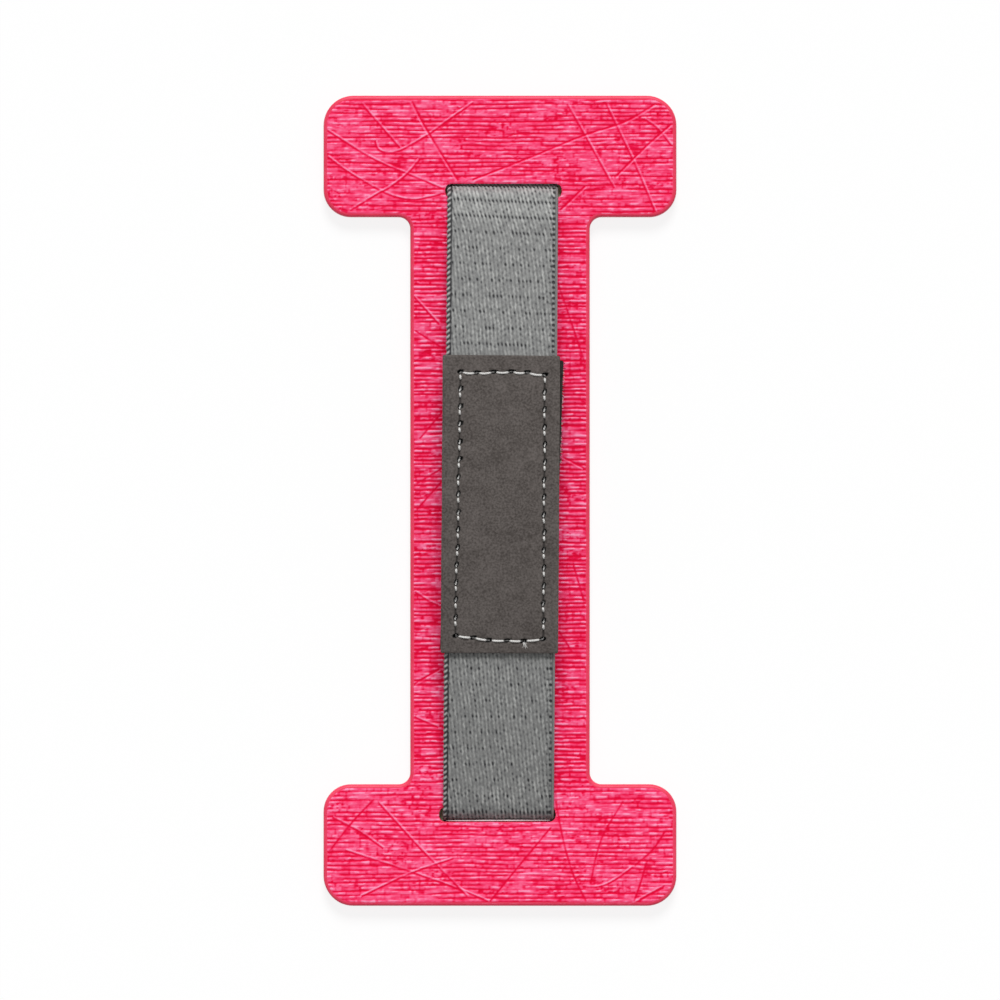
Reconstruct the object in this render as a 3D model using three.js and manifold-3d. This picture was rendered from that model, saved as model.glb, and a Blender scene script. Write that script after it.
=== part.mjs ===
// Tablet hand strap: an I-shaped stick-on panel with an elastic band and a sewn grip patch on its front.
// Millimetres, +Z up. The panel lies on its back on z = 0 with its length along Y, and the origin is the
// middle of its footprint.

import * as THREE from "three";
import { mergeVertices } from "three/addons/utils/BufferGeometryUtils.js";
import Module from "manifold-3d";

const wasm = await Module();
wasm.setup();

// Panel outline
const panelLength = 162;
const panelWidth = 70.5;
const webWidth = 35.8;
const flangeDepth = 24.2;
const endCornerRadius = 5.9;
const shoulderRadius = 5.4;
const innerFilletRadius = 2.4;

// Panel layers, from the floor up
const linerThickness = 0.15;
const linerInset = 0.5;
const adhesiveThickness = 0.25;
const adhesiveInset = 1;
const backSheetThickness = 0.5;
const coverThickness = 1;
const coverBevelWidth = 0.6;
const coverBevelDrop = 0.45;

// Elastic band
const bandWidth = 22.2;
const bandThickness = 1.1;
const selvageWidth = 0.9;
const selvageStep = 0.05;
const bandTail = 13;
const pocketBendInside = 0.25;
const lipBendInside = 1.65;
const climbAngle = THREE.MathUtils.degToRad(75);
const leaveAngle = THREE.MathUtils.degToRad(13.2);

// Where the band passes through the panel
const strapCentre = new THREE.Vector2(0.09, -0.4);
const strapLean = THREE.MathUtils.degToRad(0.4);
const slotLean = THREE.MathUtils.degToRad(0.56);
const slotToEnd = 17.2;
const slotSideClearance = 0.5;
const slotCornerRadius = 1.2;
const innerLipClearance = 0.2;
const outerLipClearance = 0.15;
const lipLift = 0.3;
const pocketGap = 0.15;
const pocketSideClearance = 1.1;
const pocketEndClearance = 0.6;

// Grip patch: the front piece, and the smaller back piece that lies askew under the band
const patchOverhang = 0.6;
const patchLength = 59.4;
const patchShift = -0.3;
const patchCornerRadius = 0.8;
const patchFrontThickness = 1;
const patchBackThickness = 0.8;
const patchBackTrimWidth = 0.8;
const patchBackTrimLength = 0.8;
const patchBackShift = new THREE.Vector2(0.4, -0.2);
const patchBackLean = THREE.MathUtils.degToRad(1.6);
const patchGap = 0.1;

// Seam: it lies a little off the patch's middle, and the hole that it starts and ends in is counted from
// the near left corner
const seamShift = -0.35;
const seamSideInset = 3;
const seamEndInset = 3.2;
const stitchLength = 3.5;
const seamStartHole = 4;
const patchHoleRadius = 0.65;
const bandHoleRadius = 0.45;
const threadRadius = 0.2;
const threadLift = 0.36;
const threadDip = 0.2;
const threadShoulder = 0.75;
const threadEndSpacing = 0.5;

// Fineness of the curves
const cornerSegments = 4;
const bevelSegments = 3;
const bendSegments = 6;
const bowSegments = 24;
const patchSegments = 12;
const threadSides = 6;
const holeSides = 8;

// Heights of the panel's layers
const backSheetBottom = linerThickness + adhesiveThickness;
const coreBottom = backSheetBottom + backSheetThickness;
const coreThickness = bandThickness + 2 * pocketGap;
const coverBottom = coreBottom + coreThickness;
const panelTop = coverBottom + coverThickness;

// The band's climb from its pocket, round a tight bend, and over the inner lip of the slot, round a wide one
const pocketBendRadius = bandThickness / 2 + pocketBendInside;
const lipBendRadius = bandThickness / 2 + lipBendInside;
const pocketHeight = coreBottom + coreThickness / 2;
const lipHeight = panelTop + lipLift + bandThickness / 2;
const pocketBendRise = pocketBendRadius * (1 - Math.cos(climbAngle));
const lipBendRise = lipBendRadius * (Math.cos(leaveAngle) - Math.cos(climbAngle));
const climbLength = (lipHeight - pocketHeight - pocketBendRise - lipBendRise) / Math.sin(climbAngle);
const pocketBendRun = pocketBendRadius * Math.sin(climbAngle);
const lipBendRun = lipBendRadius * (Math.sin(climbAngle) - Math.sin(leaveAngle));
const climbRun = pocketBendRun + climbLength * Math.cos(climbAngle) + lipBendRun;

// The slots, measured from the middle of the strap
const slotDepth = innerLipClearance + climbRun + outerLipClearance;
const slotWidth = bandWidth + 2 * slotSideClearance;
const slotDistance = panelLength / 2 - slotToEnd - slotDepth / 2;

// The bow of the band between the slots, a parabola over the panel
const bowReach = slotDistance - slotDepth / 2 + innerLipClearance;
const bowHeight = (bowReach * Math.tan(leaveAngle)) / 2;

const patchWidth = bandWidth + 2 * patchOverhang;
const frontPieceBottom = bandThickness / 2 + patchGap;
const frontPieceTop = frontPieceBottom + patchFrontThickness;
const backPieceTop = -bandThickness / 2 - patchGap;
const backPieceBottom = backPieceTop - patchBackThickness;

// How far a cutting body runs past what it cuts, and how near two corners count as one
const cutMargin = 1;
const mergeDistance = 1e-4;

// A closed geometry as a solid that can be joined and cut.
function solidOf(geometry) {
  const bare = geometry.index ? geometry.toNonIndexed() : geometry.clone();
  bare.deleteAttribute("normal");
  bare.deleteAttribute("uv");
  const merged = mergeVertices(bare, mergeDistance);
  const vertProperties = merged.attributes.position.array;
  const triVerts = new Uint32Array(merged.index.array);
  return new wasm.Manifold(new wasm.Mesh({ numProp: 3, vertProperties, triVerts }));
}

function geometryOf(solid) {
  const { vertProperties, triVerts } = solid.getMesh();
  const geometry = new THREE.BufferGeometry();
  geometry.setAttribute("position", new THREE.BufferAttribute(vertProperties, 3));
  geometry.setIndex(new THREE.BufferAttribute(triVerts, 1));
  geometry.computeVertexNormals();
  return geometry;
}

function namedMesh(name, solid, color, roughness) {
  const material = new THREE.MeshStandardMaterial({ color, roughness, metalness: 0 });
  const mesh = new THREE.Mesh(geometryOf(solid), material);
  mesh.name = name;
  return mesh;
}

// An outline of straight sides with an arc at every right-angled corner, inward or outward.
function roundedShape(corners) {
  const shape = new THREE.Shape();
  corners.forEach(({ x, y, radius }, index) => {
    const before = corners[(index + corners.length - 1) % corners.length];
    const after = corners[(index + 1) % corners.length];
    const back = new THREE.Vector2(before.x - x, before.y - y).setLength(radius);
    const ahead = new THREE.Vector2(after.x - x, after.y - y).setLength(radius);
    const start = Math.atan2(-ahead.y, -ahead.x);
    const end = Math.atan2(-back.y, -back.x);
    const clockwise = back.cross(ahead) > 0;
    shape.absarc(x + back.x + ahead.x, y + back.y + ahead.y, radius, start, end, clockwise);
  });
  shape.closePath();
  return shape;
}

function roundedRectangle(width, depth, radius) {
  const x = width / 2;
  const y = depth / 2;
  return roundedShape([
    { x: -x, y: -y, radius },
    { x, y: -y, radius },
    { x, y, radius },
    { x: -x, y, radius },
  ]);
}

// The panel's I outline, drawn inset from its edge.
function panelShape(inset) {
  const halfLength = panelLength / 2 - inset;
  const halfWidth = panelWidth / 2 - inset;
  const halfWeb = webWidth / 2 - inset;
  const neck = panelLength / 2 - flangeDepth + inset;
  const lowerRight = [
    { x: halfWidth, y: -halfLength, radius: endCornerRadius - inset },
    { x: halfWidth, y: -neck, radius: shoulderRadius - inset },
    { x: halfWeb, y: -neck, radius: innerFilletRadius + inset },
  ];
  const upperRight = lowerRight.map((corner) => ({ ...corner, y: -corner.y })).reverse();
  const right = [...lowerRight, ...upperRight];
  const left = right.map((corner) => ({ ...corner, x: -corner.x })).reverse();
  return roundedShape([...right, ...left]);
}

// A flat layer of the given outline between two heights, as a geometry.
function layer(shape, from, to) {
  const settings = { depth: to - from, bevelEnabled: false, curveSegments: cornerSegments };
  return new THREE.ExtrudeGeometry(shape, settings).translate(0, 0, from);
}

// The two ends of the strap: +1 is the far one, along +Y, and -1 the near one.
const strapEnds = [1, -1];

// A round-cornered cut for one end of the band, through the layer between two heights. It starts at the
// slot's inner lip and runs outwards.
function bandCut(end, width, depth, from, to) {
  const across = strapCentre.x + end * slotDistance * Math.tan(slotLean);
  const along = strapCentre.y + end * (slotDistance - slotDepth / 2 + depth / 2);
  const shape = roundedRectangle(width, depth, slotCornerRadius);
  return solidOf(layer(shape, from - cutMargin, to + cutMargin).translate(across, along, 0));
}

// Front cover: embossed artificial leather with a bevelled rim and a slot for each end of the band.
function frontCover() {
  const bevelled = new THREE.ExtrudeGeometry(panelShape(coverBevelWidth), {
    depth: coverThickness,
    bevelSize: coverBevelWidth,
    bevelThickness: coverBevelDrop,
    bevelSegments,
    curveSegments: cornerSegments,
  }).translate(0, 0, coverBottom - coverBevelDrop);
  const keep = layer(panelShape(-cutMargin), coverBottom, panelTop + cutMargin);
  let cover = solidOf(bevelled).intersect(solidOf(keep));
  for (const end of strapEnds) {
    cover = cover.subtract(bandCut(end, slotWidth, slotDepth, coverBottom, panelTop));
  }
  return namedMesh("front_cover", cover, 0xf34978, 0.5);
}

// Core board: the stiffener, with a pocket behind the cover for each end of the band.
function coreBoard() {
  const pocketWidth = bandWidth + 2 * pocketSideClearance;
  const pocketDepth = slotDepth + bandTail + pocketEndClearance;
  let board = solidOf(layer(panelShape(0), coreBottom, coverBottom));
  for (const end of strapEnds) {
    board = board.subtract(bandCut(end, pocketWidth, pocketDepth, coreBottom, coverBottom));
  }
  return namedMesh("core_board", board, 0xb9b2a6, 0.9);
}

function backSheet() {
  const sheet = layer(panelShape(0), backSheetBottom, coreBottom);
  return namedMesh("back_sheet", solidOf(sheet), 0xcfd0a8, 0.7);
}

function adhesiveSheet() {
  const sheet = layer(panelShape(adhesiveInset), linerThickness, backSheetBottom);
  return namedMesh("adhesive_sheet", solidOf(sheet), 0xe9e6d8, 0.35);
}

function releaseLiner() {
  const sheet = layer(panelShape(linerInset), 0, linerThickness);
  return namedMesh("release_liner", solidOf(sheet), 0xd3cf9f, 0.4);
}

// Height of the band's middle at a distance along the strap from its centre, between the slots.
function bowAt(along) {
  return lipHeight + bowHeight * (1 - (along / bowReach) ** 2);
}

// The band's middle line from the side, x along the strap and y up: a tail in the near pocket, a bend,
// the climb through the slot, a bend over the inner lip, the bow, and the same again at the far slot.
function bandLine() {
  const straight = (from, to) => new THREE.LineCurve(from, to);
  const bend = (centre, radius, from, to, clockwise) =>
    new THREE.EllipseCurve(centre.x, centre.y, radius, radius, from, to, clockwise);
  const right = Math.PI / 2;
  const lipBend = new THREE.Vector2(
    -bowReach + lipBendRadius * Math.sin(leaveAngle),
    lipHeight - lipBendRadius * Math.cos(leaveAngle),
  );
  const pocketBend = new THREE.Vector2(-bowReach - climbRun, pocketHeight + pocketBendRadius);
  const tailEnd = new THREE.Vector2(-slotDistance - slotDepth / 2 - bandTail, pocketHeight);
  const climbStart = new THREE.Vector2(
    pocketBend.x + pocketBendRadius * Math.sin(climbAngle),
    pocketBend.y - pocketBendRadius * Math.cos(climbAngle),
  );
  const climbEnd = new THREE.Vector2(
    lipBend.x - lipBendRadius * Math.sin(climbAngle),
    lipBend.y + lipBendRadius * Math.cos(climbAngle),
  );
  const mirrored = (point) => new THREE.Vector2(-point.x, point.y);
  const crown = new THREE.Vector2(0, lipHeight + 2 * bowHeight);
  const bowStart = new THREE.Vector2(-bowReach, lipHeight);
  return [
    { curve: straight(tailEnd, new THREE.Vector2(pocketBend.x, pocketHeight)), segments: 1 },
    {
      curve: bend(pocketBend, pocketBendRadius, -right, -right + climbAngle, false),
      segments: bendSegments,
    },
    { curve: straight(climbStart, climbEnd), segments: 1 },
    {
      curve: bend(lipBend, lipBendRadius, right + climbAngle, right + leaveAngle, true),
      segments: bendSegments,
    },
    {
      curve: new THREE.QuadraticBezierCurve(bowStart, crown, mirrored(bowStart)),
      segments: bowSegments,
    },
    {
      curve: bend(mirrored(lipBend), lipBendRadius, right - leaveAngle, right - climbAngle, true),
      segments: bendSegments,
    },
    { curve: straight(mirrored(climbEnd), mirrored(climbStart)), segments: 1 },
    {
      curve: bend(mirrored(pocketBend), pocketBendRadius, -right - climbAngle, -right, false),
      segments: bendSegments,
    },
    {
      curve: straight(new THREE.Vector2(-pocketBend.x, pocketHeight), mirrored(tailEnd)),
      segments: 1,
    },
  ];
}

// Points of a line seen from the side, each with the direction that is square to it and up.
function stationsOf(pieces) {
  const stations = [];
  pieces.forEach(({ curve, segments }, index) => {
    const first = index === 0 ? 0 : 1;
    for (let step = first; step <= segments; step += 1) {
      const tangent = curve.getTangent(step / segments);
      const point = curve.getPoint(step / segments);
      stations.push({ point, up: new THREE.Vector2(-tangent.y, tangent.x) });
    }
  });
  return stations;
}

// A layer of the strap between two offsets from the band's middle line, of the given width.
function strapLayer(stations, lower, upper, width) {
  const edge = (offset) => stations.map(({ point, up }) => point.clone().addScaledVector(up, offset));
  const side = new THREE.Shape([...edge(lower), ...edge(upper).reverse()]);
  const geometry = new THREE.ExtrudeGeometry(side, { depth: width, bevelEnabled: false });
  const alongY = new THREE.Vector3(0, 1, 0);
  const up = new THREE.Vector3(0, 0, 1);
  const across = new THREE.Vector3(1, 0, 0);
  geometry.translate(0, 0, -width / 2);
  geometry.applyMatrix4(new THREE.Matrix4().makeBasis(alongY, up, across));
  return geometry;
}

// The seam's needle holes as seen from above, once round the patch from the near left corner.
function seamHoles() {
  const width = patchWidth - 2 * seamSideInset;
  const length = patchLength - 2 * seamEndInset;
  const across = Math.round(width / stitchLength);
  const along = Math.round(length / stitchLength);
  const holes = [];
  for (let hole = 0; hole < across; hole += 1) {
    holes.push(new THREE.Vector2(-width / 2 + (width * hole) / across, -length / 2));
  }
  for (let hole = 0; hole < along; hole += 1) {
    holes.push(new THREE.Vector2(width / 2, -length / 2 + (length * hole) / along));
  }
  const middle = new THREE.Vector2(0, patchShift + seamShift);
  return [...holes, ...holes.map((hole) => hole.clone().negate())].map((hole) => hole.add(middle));
}

// All the needle holes of one radius, as one cutting solid.
function punched(solid, radius) {
  const height = 2 * (bandThickness + patchFrontThickness + patchBackThickness + cutMargin);
  return seamHoles().reduce((left, hole) => {
    const needle = new THREE.CylinderGeometry(radius, radius, height, holeSides);
    needle.rotateX(Math.PI / 2).translate(hole.x, hole.y, bowAt(hole.y));
    return left.subtract(solidOf(needle));
  }, solid);
}

// Elastic band: one length of webbing with a corded selvage along each edge.
function elasticBand() {
  const stations = stationsOf(bandLine());
  const half = bandThickness / 2;
  const webbing = strapLayer(stations, -half + selvageStep, half - selvageStep, bandWidth - selvageWidth);
  let band = solidOf(webbing);
  for (const side of [1, -1]) {
    const shift = (side * (bandWidth - selvageWidth)) / 2;
    band = band.add(solidOf(strapLayer(stations, -half, half, selvageWidth).translate(shift, 0, 0)));
  }
  return namedMesh("elastic_band", punched(band, bandHoleRadius), 0x858585, 0.85);
}

// One piece of the grip patch: a layer of the bow, cut to a round-cornered outline and punched.
function patchPiece(lower, upper, width, length, placed) {
  const reach = length / 2 + 2 * cutMargin;
  const start = new THREE.Vector2(-reach, bowAt(reach));
  const steepness = (2 * bowHeight * reach) / bowReach ** 2;
  const top = new THREE.Vector2(0, start.y + steepness * reach);
  const curve = new THREE.QuadraticBezierCurve(start, top, new THREE.Vector2(reach, start.y));
  const stations = stationsOf([{ curve, segments: patchSegments }]);
  const sheet = solidOf(strapLayer(stations, lower, upper, width + 4 * cutMargin));
  const outline = roundedRectangle(width, length, patchCornerRadius);
  const cutter = layer(outline, panelTop, bowAt(0) + upper + cutMargin);
  return punched(sheet.intersect(solidOf(placed(cutter))), patchHoleRadius);
}

function gripPatchFront() {
  const inPlace = (cutter) => cutter.translate(0, patchShift, 0);
  const piece = patchPiece(frontPieceBottom, frontPieceTop, patchWidth, patchLength, inPlace);
  return namedMesh("grip_patch_front", piece, 0x58534f, 0.9);
}

function gripPatchBack() {
  const width = patchWidth - patchBackTrimWidth;
  const length = patchLength - patchBackTrimLength;
  const { x, y } = patchBackShift;
  const askew = (cutter) => cutter.rotateZ(-patchBackLean).translate(x, patchShift + y, 0);
  const piece = patchPiece(backPieceBottom, backPieceTop, width, length, askew);
  return namedMesh("grip_patch_back", piece, 0x3c3836, 0.9);
}

// A curve that is stepped from one of its points to the next, however far apart they are.
class ThreadCurve extends THREE.CatmullRomCurve3 {
  getPointAt(part, target) {
    return this.getPoint(part, target);
  }

  getTangentAt(part, target) {
    return this.getTangent(part, target);
  }
}

// A sewing thread on one face of the patch: it lies on the face along each stitch and dips into each hole.
// The face is at an offset from the band's middle, and side is +1 on the front and -1 on the back.
function seamThread(name, face, side, color) {
  const round = seamHoles();
  const holes = [...round.slice(seamStartHole), ...round.slice(0, seamStartHole)];
  const points = [];
  const put = (plan, lift) => {
    const slope = (2 * bowHeight * plan.y) / bowReach ** 2;
    const height = (face + side * lift) * Math.hypot(1, slope);
    points.push(new THREE.Vector3(plan.x, plan.y, bowAt(plan.y) + height));
  };
  holes.forEach((hole, index) => {
    const next = holes[(index + 1) % holes.length];
    const ahead = next.clone().sub(hole);
    const at = (distance) => hole.clone().addScaledVector(ahead, distance / ahead.length());
    put(at(index === 0 ? threadEndSpacing / 2 : 0), -threadDip);
    put(at(threadShoulder), threadLift);
    put(at(ahead.length() / 2), threadLift);
    put(at(ahead.length() - threadShoulder), threadLift);
  });
  const last = holes[holes.length - 1];
  const closing = holes[0].clone().sub(last);
  const endReach = (closing.length() - threadEndSpacing / 2) / closing.length();
  put(last.clone().addScaledVector(closing, endReach), -threadDip);
  const corners = Array.from({ length: threadSides }, (_, corner) => {
    const angle = (2 * Math.PI * corner) / threadSides;
    return new THREE.Vector2(threadRadius * Math.cos(angle), threadRadius * Math.sin(angle));
  });
  const thread = new THREE.ExtrudeGeometry(new THREE.Shape(corners), {
    extrudePath: new ThreadCurve(points),
    steps: points.length - 1,
  });
  return namedMesh(name, solidOf(thread), color, 0.7);
}

// The strap lies at a slight lean across the panel.
const strap = new THREE.Group();
strap.position.set(strapCentre.x, strapCentre.y, 0);
strap.rotation.z = -strapLean;
strap.add(
  elasticBand(),
  gripPatchFront(),
  gripPatchBack(),
  seamThread("needle_thread", frontPieceTop, 1, 0xcfcbc6),
  seamThread("bobbin_thread", backPieceBottom, -1, 0xb4afaa),
);

const root = new THREE.Group();
root.add(frontCover(), coreBoard(), backSheet(), adhesiveSheet(), releaseLiner(), strap);

export default root;
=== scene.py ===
# Tablet hand strap: the surfaces, weave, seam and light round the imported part.
# Sizes here are millimetres; the functions that make meshes turn them into metres.
import math

import bmesh
import bpy
import numpy as np
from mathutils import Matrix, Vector


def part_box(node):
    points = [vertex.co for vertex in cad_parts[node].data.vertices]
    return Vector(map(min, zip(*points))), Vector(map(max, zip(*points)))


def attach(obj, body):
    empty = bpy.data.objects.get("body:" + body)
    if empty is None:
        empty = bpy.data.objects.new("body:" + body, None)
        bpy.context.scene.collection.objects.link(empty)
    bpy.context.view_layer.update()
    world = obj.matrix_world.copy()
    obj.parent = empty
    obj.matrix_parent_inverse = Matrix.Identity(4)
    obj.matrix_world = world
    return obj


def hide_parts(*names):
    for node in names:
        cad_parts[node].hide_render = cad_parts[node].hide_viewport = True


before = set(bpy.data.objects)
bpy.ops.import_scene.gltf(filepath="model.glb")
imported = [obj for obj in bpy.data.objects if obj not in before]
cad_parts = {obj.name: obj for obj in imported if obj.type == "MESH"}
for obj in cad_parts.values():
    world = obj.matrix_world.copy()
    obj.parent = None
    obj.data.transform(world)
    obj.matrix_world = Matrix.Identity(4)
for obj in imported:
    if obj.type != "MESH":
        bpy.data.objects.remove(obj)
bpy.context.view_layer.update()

MM = 0.001
BODY = "root"

# The photograph: its size in pixels and the millimetres that one pixel shows
PHOTO_SIZE = 1000
PIXEL = 0.2

# Panel outline
PANEL_LENGTH = 162
PANEL_WIDTH = 70.5
WEB_WIDTH = 35.8
FLANGE_DEPTH = 24.2
END_RADIUS = 5.9
SHOULDER_RADIUS = 5.4
FILLET_RADIUS = 2.4

# Panel layers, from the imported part
SHEET_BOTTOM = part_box("back_sheet")[0].z / MM
CORE_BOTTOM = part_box("core_board")[0].z / MM
COVER_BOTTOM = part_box("front_cover")[0].z / MM
PANEL_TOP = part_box("front_cover")[1].z / MM

# Slots
SLOT_WIDTH = 23.2
SLOT_TO_END = 17.2
SLOT_RADIUS = 1.2
SLOT_LEAN = math.radians(0.56)

# A painted highlight along the near slot's near lip, which faces the key light, from its left end to its
# right, as pixels of the photograph
NEAR_LIP = [(446.0, 820.0), (550.5, 819.6)]
LIP_POINTS = 60
LIP_HIGHLIGHT_RADIUS = 0.13
LIP_HIGHLIGHT_SINK = 0.12

# Strap
STRAP_CENTRE = (0.09, -0.4)
STRAP_LEAN = math.radians(0.4)
BAND_WIDTH = 22.2
BAND_THICKNESS = 1.1
BAND_TAIL = 13
POCKET_BEND = 0.8
LIP_BEND = 2.2
CLIMB_ANGLE = math.radians(75)
LEAVE_ANGLE = math.radians(13.2)
LIP_LIFT = 0.3
INNER_CLEARANCE = 0.2
OUTER_CLEARANCE = 0.15
PATCH_WIDTH = 23.4
PATCH_LENGTH = 59.4
PATCH_SHIFT = -0.3
PATCH_RADIUS = 0.35
PATCH_GAP = 0.1
FRONT_THICKNESS = 1.0
BACK_THICKNESS = 0.8
BACK_TRIM = 0.8
BACK_SHIFT = (0.25, -0.2)
BACK_LEAN = math.radians(1.6)

# Seam, with the holes of its two end rows as pixels of the photograph, left to right
SEAM_SIDE_INSET = 3
SEAM_END_INSET = 3.2
STITCH_LENGTH = 3.5
SEAM_START_HOLE = 4
FAR_ROW = [(460.5, 371.6), (476.4, 372.7), (493.6, 371.8), (511.2, 371.5), (526.9, 372.4), (545.0, 374.7)]
NEAR_ROW = [(455.5, 635.7), (473.3, 637.7), (488.7, 640.2), (506.9, 640.6), (523.1, 641.0), (543.0, 639.0)]
FAR_STITCH_SAG = 0.28
NEAR_STITCH_SAG = 0.12

# Where the strap's middle line runs
POCKET_HEIGHT = (CORE_BOTTOM + COVER_BOTTOM) / 2
LIP_HEIGHT = PANEL_TOP + LIP_LIFT + BAND_THICKNESS / 2
STEEP_RISE = LIP_HEIGHT - POCKET_HEIGHT - POCKET_BEND * (1 - math.cos(CLIMB_ANGLE)) - LIP_BEND * (
    math.cos(LEAVE_ANGLE) - math.cos(CLIMB_ANGLE))
CLIMB_RUN = POCKET_BEND * math.sin(CLIMB_ANGLE) + STEEP_RISE / math.tan(CLIMB_ANGLE) + LIP_BEND * (
    math.sin(CLIMB_ANGLE) - math.sin(LEAVE_ANGLE))
SLOT_DEPTH = INNER_CLEARANCE + CLIMB_RUN + OUTER_CLEARANCE
SLOT_DISTANCE = PANEL_LENGTH / 2 - SLOT_TO_END - SLOT_DEPTH / 2
BOW_REACH = SLOT_DISTANCE - SLOT_DEPTH / 2 + INNER_CLEARANCE
BOW_HEIGHT = BOW_REACH * math.tan(LEAVE_ANGLE) / 2


# Numbers

def smoothstep(low, high, value):
    share = np.clip((value - low) / (high - low), 0, 1)
    return share * share * (3 - 2 * share)


def mix(first, second, share):
    return first + (second - first) * share


def bell(value, width):
    """A smooth hump: 1 at 0 and small beyond the width."""
    return np.exp(-((value / width) ** 2))


def turned(x, y, angle):
    """A place turned clockwise about the origin."""
    cosine, sine = math.cos(angle), math.sin(angle)
    return x * cosine + y * sine, -x * sine + y * cosine


def value_noise(x, y, cell_x, cell_y, seed):
    """Smooth noise from 0 to 1 over the plane, in cells of the given size."""
    table = np.random.default_rng(seed).random((256, 256))
    column, row = np.floor(x / cell_x).astype(int), np.floor(y / cell_y).astype(int)
    across, along = x / cell_x - column, y / cell_y - row
    across, along = across * across * (3 - 2 * across), along * along * (3 - 2 * along)
    value = lambda right, up: table[(column + right) & 255, (row + up) & 255]
    lower = mix(value(0, 0), value(1, 0), across)
    upper = mix(value(0, 1), value(1, 1), across)
    return mix(lower, upper, along)


def from_photo(point):
    """A pixel of the photograph as a place on the panel: its middle is the panel's middle."""
    return (point[0] - PHOTO_SIZE / 2) * PIXEL, (PHOTO_SIZE / 2 - point[1]) * PIXEL


def smooth_line(points, steps=8):
    """A curve through the points, as a list of more points."""
    points = np.array(points, float)
    before = np.vstack([2 * points[:1] - points[1:2], points[:-1]])
    after = np.vstack([points[1:], 2 * points[-1:] - points[-2:-1]])
    slopes = (after - before) / 2
    line = []
    for start, end, leave, arrive in zip(points[:-1], points[1:], slopes[:-1], slopes[1:]):
        for t in np.arange(steps) / steps:
            line.append(
                (2 * t**3 - 3 * t**2 + 1) * start + (t**3 - 2 * t**2 + t) * leave
                + (3 * t**2 - 2 * t**3) * end + (t**3 - t**2) * arrive
            )
    return np.array(line + [points[-1]])


# Outlines

def rounded_loop(corners, steps):
    """The points of an outline with an arc at each corner (x, y, radius)."""
    places = [np.array(corner[:2], float) for corner in corners]
    loop = []
    for index, (place, corner) in enumerate(zip(places, corners)):
        back = places[index - 1] - place
        ahead = places[(index + 1) % len(places)] - place
        back *= corner[2] / np.linalg.norm(back)
        ahead *= corner[2] / np.linalg.norm(ahead)
        for turn in np.linspace(0, math.pi / 2, steps + 1):
            loop.append(place + back + ahead - ahead * math.cos(turn) - back * math.sin(turn))
    return np.array(loop)


def panel_loop(inset, steps=12):
    half_length, half_width = PANEL_LENGTH / 2 - inset, PANEL_WIDTH / 2 - inset
    half_web, neck = WEB_WIDTH / 2 - inset, PANEL_LENGTH / 2 - FLANGE_DEPTH + inset
    near = [
        (half_width, -half_length, END_RADIUS - inset),
        (half_width, -neck, SHOULDER_RADIUS - inset),
        (half_web, -neck, FILLET_RADIUS + inset),
    ]
    right = near + [(x, -y, radius) for x, y, radius in reversed(near)]
    return rounded_loop(right + [(-x, y, radius) for x, y, radius in reversed(right)], steps)


def slot_loop(end, outset, steps=8):
    """The outline of the far slot (end 1) or the near one (end -1), drawn wider by outset."""
    middle = np.array([
        STRAP_CENTRE[0] + end * SLOT_DISTANCE * math.tan(SLOT_LEAN),
        STRAP_CENTRE[1] + end * SLOT_DISTANCE,
    ])
    x, y, radius = SLOT_WIDTH / 2 + outset, SLOT_DEPTH / 2 + outset, SLOT_RADIUS + outset
    return middle + rounded_loop([(-x, -y, radius), (x, -y, radius), (x, y, radius), (-x, y, radius)], steps)


def margin_inside(x, y, loop):
    """How far points lie inside a closed outline; negative outside it."""
    nearest, inside = np.full(x.shape, np.inf), np.zeros(x.shape, bool)
    for start, end in zip(loop, np.roll(loop, -1, axis=0)):
        run = end - start
        if np.abs(run).max() < 1e-9:
            continue
        share = np.clip(((x - start[0]) * run[0] + (y - start[1]) * run[1]) / (run @ run), 0, 1)
        gap = np.hypot(x - start[0] - share * run[0], y - start[1] - share * run[1])
        nearest = np.minimum(nearest, gap)
        if start[1] != end[1]:
            crosses = (start[1] > y) != (end[1] > y)
            inside ^= crosses & (x < start[0] + run[0] * (y - start[1]) / run[1])
    return np.where(inside, nearest, -nearest)


# Meshes

def mesh_piece(name, points, faces, material, uv=None, values=None, sharp=35):
    """A smooth piece that rides on the part, from points in millimetres and faces of one length."""
    mesh = bpy.data.meshes.new(name)
    mesh.vertices.add(len(points))
    mesh.vertices.foreach_set("co", (np.asarray(points) * MM).astype(np.float32).ravel())
    mesh.loops.add(faces.size)
    mesh.loops.foreach_set("vertex_index", faces.astype(np.int32).ravel())
    mesh.polygons.add(len(faces))
    mesh.polygons.foreach_set("loop_start", np.arange(0, faces.size, faces.shape[1], dtype=np.int32))
    mesh.update(calc_edges=True)
    if uv is not None:
        layer = mesh.uv_layers.new(name="OFBake")
        layer.uv.foreach_set("vector", np.asarray(uv, np.float32).ravel())
    for key, value in (values or {}).items():
        attribute = mesh.attributes.new(key, "FLOAT", "POINT")
        attribute.data.foreach_set("value", np.asarray(value, np.float32).ravel())
    return finish_piece(name, mesh, material, sharp)


def finish_piece(name, mesh, material, sharp=35):
    mesh.shade_smooth()
    if sharp:
        mesh.set_sharp_from_angle(angle=math.radians(sharp))
    mesh.materials.append(material)
    piece = bpy.data.objects.new(name, mesh)
    bpy.context.scene.collection.objects.link(piece)
    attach(piece, BODY)
    return piece


def grid_quads(rows, columns, closed=False):
    """The quads of a grid of points, and the row and column of each of their corners."""
    steps = columns if closed else columns - 1
    row, column = np.meshgrid(np.arange(rows - 1), np.arange(steps), indexing="ij")
    row, column = row.ravel(), column.ravel()
    corner_row = np.stack([row, row, row + 1, row + 1], axis=1)
    corner_column = np.stack([column, column + 1, column + 1, column], axis=1)
    return corner_row * columns + corner_column % columns, corner_row, corner_column


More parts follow.
